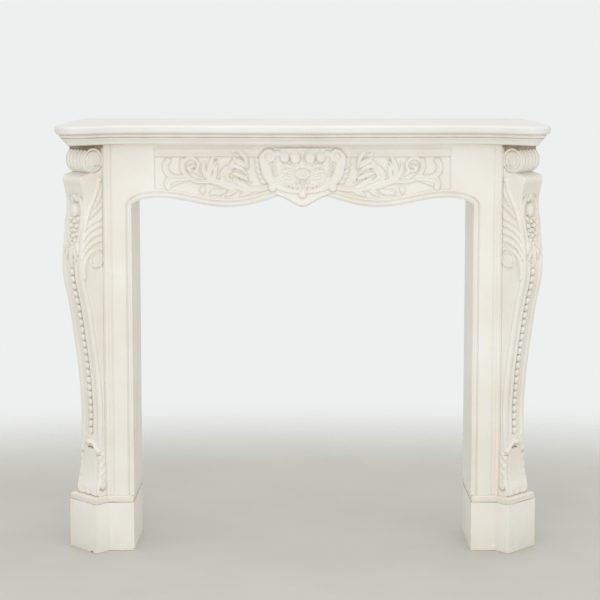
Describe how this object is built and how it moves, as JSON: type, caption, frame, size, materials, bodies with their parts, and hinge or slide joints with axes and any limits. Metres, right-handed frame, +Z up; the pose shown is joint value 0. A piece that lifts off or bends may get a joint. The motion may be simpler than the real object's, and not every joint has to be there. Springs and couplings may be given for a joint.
{
  "type": "fireplace mantel",
  "caption": "Carved and painted wooden fireplace mantel with serpentine shelf, leaf-carved frieze and canted scroll consoles on plinths.",
  "frame": {"origin": "centre of the bounding box's underside, on the floor", "axes": "+Z up, +X across to the viewer's right, -Y the carved front, +Y the wall side"},
  "size_m": [1.3, 0.315, 1.16],
  "materials": {
    "painted_body": "antique cream paint with a thin brown glaze in the recesses, eggshell",
    "painted_shelf": "ivory paint, satin, faintly glossy on top"
  },
  "bodies": {
    "root": {"plinth_block_right": "painted_body", "plinth_cap_right": "painted_body", "jamb_right": "painted_body", "return_right": "painted_body", "corner_board_right": "painted_body", "side_board_right": "painted_body", "console_right": "painted_body", "plinth_block_left": "painted_body", "plinth_cap_left": "painted_body", "jamb_left": "painted_body", "return_left": "painted_body", "corner_board_left": "painted_body", "side_board_left": "painted_body", "console_left": "painted_body", "frieze": "painted_body", "bed_moulding": "painted_shelf", "shelf": "painted_shelf"}
  },
  "joints": []
}
